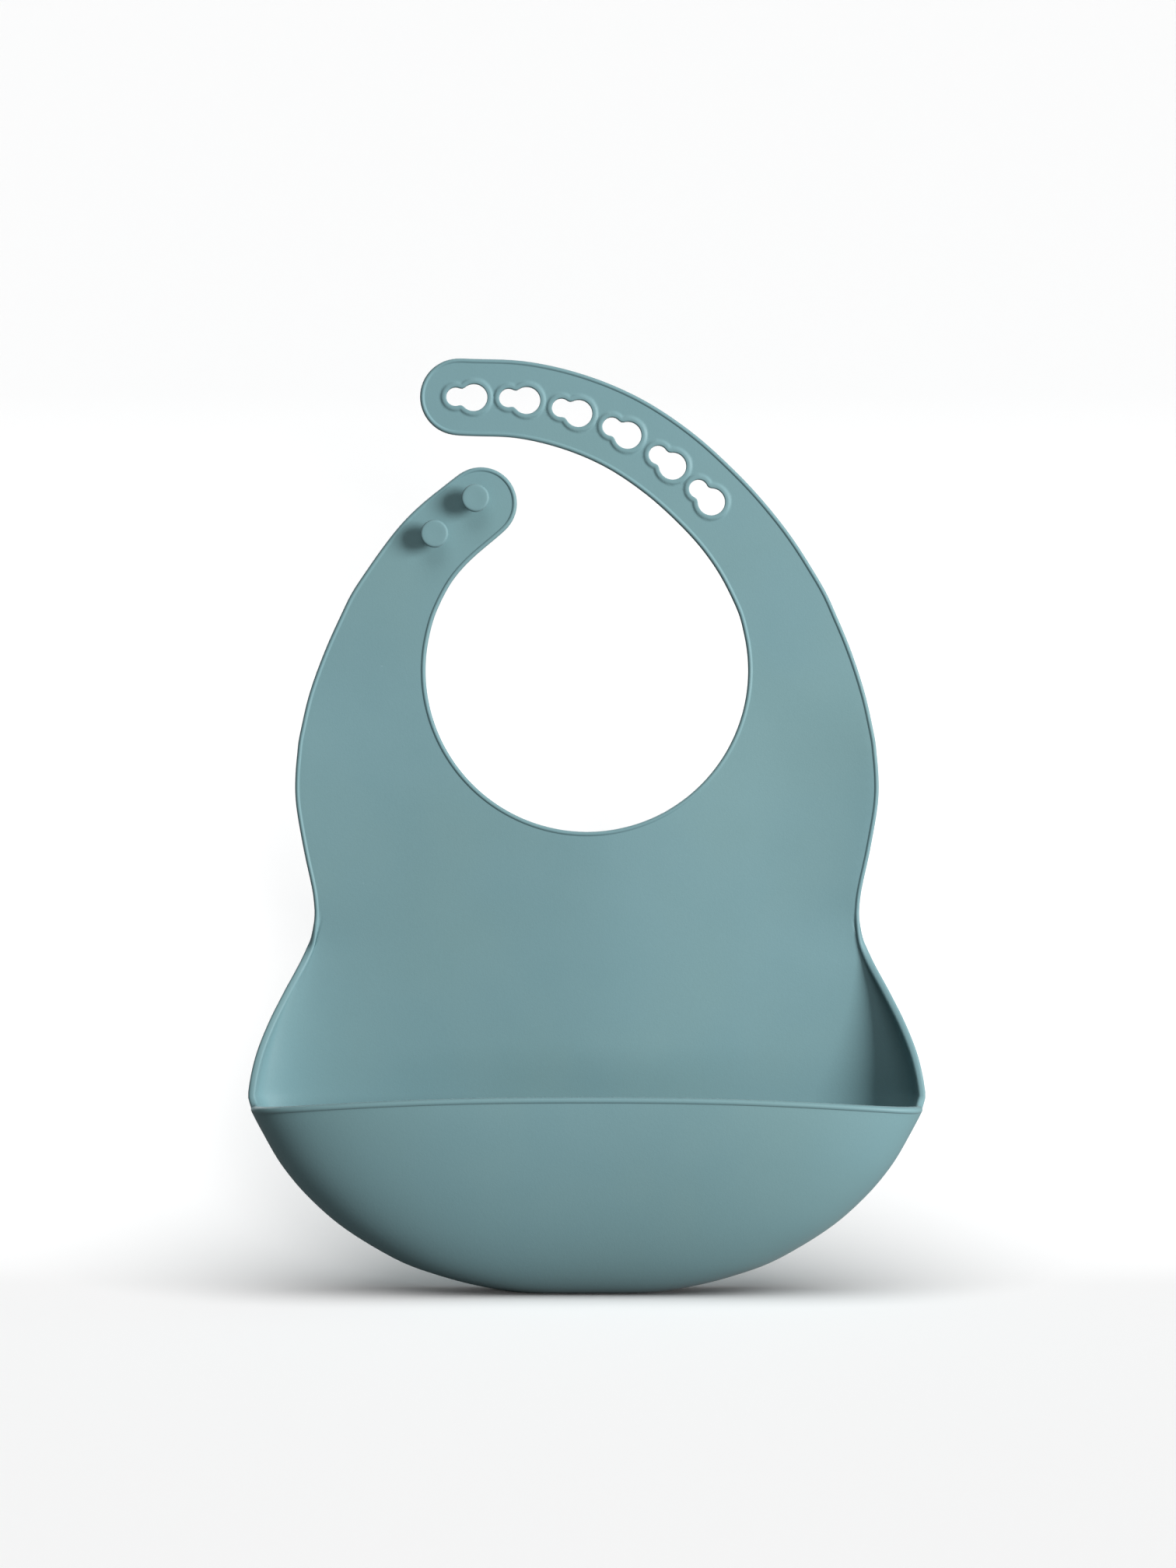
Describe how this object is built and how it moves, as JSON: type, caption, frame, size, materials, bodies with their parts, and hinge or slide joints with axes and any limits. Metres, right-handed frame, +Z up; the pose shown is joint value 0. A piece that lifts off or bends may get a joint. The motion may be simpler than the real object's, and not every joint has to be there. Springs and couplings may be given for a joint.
{
  "type": "silicone bib",
  "caption": "Moulded silicone baby bib with a scoop-shaped crumb pocket, a round neckline, a strap of keyholes and a strap with mushroom studs that fasten behind the neck.",
  "frame": {"origin": "on the surface the bib stands on, under the middle of its bounding box", "axes": "+Z up from the pocket's foot to the straps, -Y the front with the pocket and studs, +X to the right as seen from the front, where the keyhole strap starts"},
  "size_m": [0.2194, 0.0484, 0.3057],
  "materials": {
    "silicone": "matte"
  },
  "bodies": {
    "pocket_base": {"pocket_floor": "silicone", "pocket_back": "silicone", "right_side_wall": "silicone", "left_side_wall": "silicone", "right_wing": "silicone", "left_wing": "silicone"},
    "pocket_front": {"pocket_front": "silicone"},
    "chest": {"chest_panel": "silicone", "right_shoulder": "silicone", "left_shoulder": "silicone"},
    "hole_strap_root": {"hole_strap_root": "silicone"},
    "hole_strap_lower": {"keyhole_link_1": "silicone", "keyhole_link_2": "silicone"},
    "hole_strap_middle": {"keyhole_link_3": "silicone", "keyhole_link_4": "silicone"},
    "hole_strap_tip": {"keyhole_link_5": "silicone", "keyhole_link_6": "silicone"},
    "stud_strap_root": {"stud_strap_root": "silicone"},
    "stud_strap_tip": {"stud_strap_tip": "silicone", "stud_inner": "silicone", "stud_outer": "silicone"}
  },
  "joints": [
    {"name": "pocket_flex", "type": "hinge", "parent": "pocket_base", "child": "pocket_front", "pos_m": [0, 0.004, 0.009], "axis": [-1, 0, 0], "range_deg": [0, 30], "stiffness_Nm_per_rad": 0.05},
    {"name": "waist_fold", "type": "hinge", "parent": "pocket_base", "child": "chest", "pos_m": [0, 0.023, 0.124], "axis": [1, 0, 0], "range_deg": [-90, 90], "stiffness_Nm_per_rad": 0.6},
    {"name": "hole_strap_curl", "type": "hinge", "parent": "chest", "child": "hole_strap_root", "pos_m": [0.0711, 0.023, 0.203], "axis": [-0.9873, 0, -0.1587], "range_deg": [-15, 45], "stiffness_Nm_per_rad": 0.08},
    {"name": "hole_strap_curl_2", "type": "hinge", "parent": "hole_strap_root", "child": "hole_strap_lower", "pos_m": [0.0497, 0.023, 0.2487], "axis": [-0.7851, 0, -0.6193], "range_deg": [-15, 45], "stiffness_Nm_per_rad": 0.05},
    {"name": "hole_strap_curl_3", "type": "hinge", "parent": "hole_strap_lower", "child": "hole_strap_middle", "pos_m": [0.01906, 0.023, 0.27694], "axis": [-0.5523, 0, -0.8336], "range_deg": [-15, 45], "stiffness_Nm_per_rad": 0.04},
    {"name": "hole_strap_curl_4", "type": "hinge", "parent": "hole_strap_middle", "child": "hole_strap_tip", "pos_m": [-0.01352, 0.023, 0.29064], "axis": [-0.2206, 0, -0.9754], "range_deg": [-15, 45], "stiffness_Nm_per_rad": 0.03},
    {"name": "stud_strap_curl", "type": "hinge", "parent": "chest", "child": "stud_strap_root", "pos_m": [-0.0711, 0.023, 0.203], "axis": [-0.984, 0, 0.1779], "range_deg": [-20, 45], "stiffness_Nm_per_rad": 0.08},
    {"name": "stud_strap_curl_2", "type": "hinge", "parent": "stud_strap_root", "child": "stud_strap_tip", "pos_m": [-0.057, 0.023, 0.2359], "axis": [-0.8394, 0, 0.5435], "range_deg": [-20, 45], "stiffness_Nm_per_rad": 0.05}
  ],
  "couplings": [
    {"joint": "hole_strap_curl_2", "follows": "hole_strap_curl", "ratio": 1},
    {"joint": "hole_strap_curl_3", "follows": "hole_strap_curl", "ratio": 1},
    {"joint": "hole_strap_curl_4", "follows": "hole_strap_curl", "ratio": 1},
    {"joint": "stud_strap_curl_2", "follows": "stud_strap_curl", "ratio": 1}
  ]
}
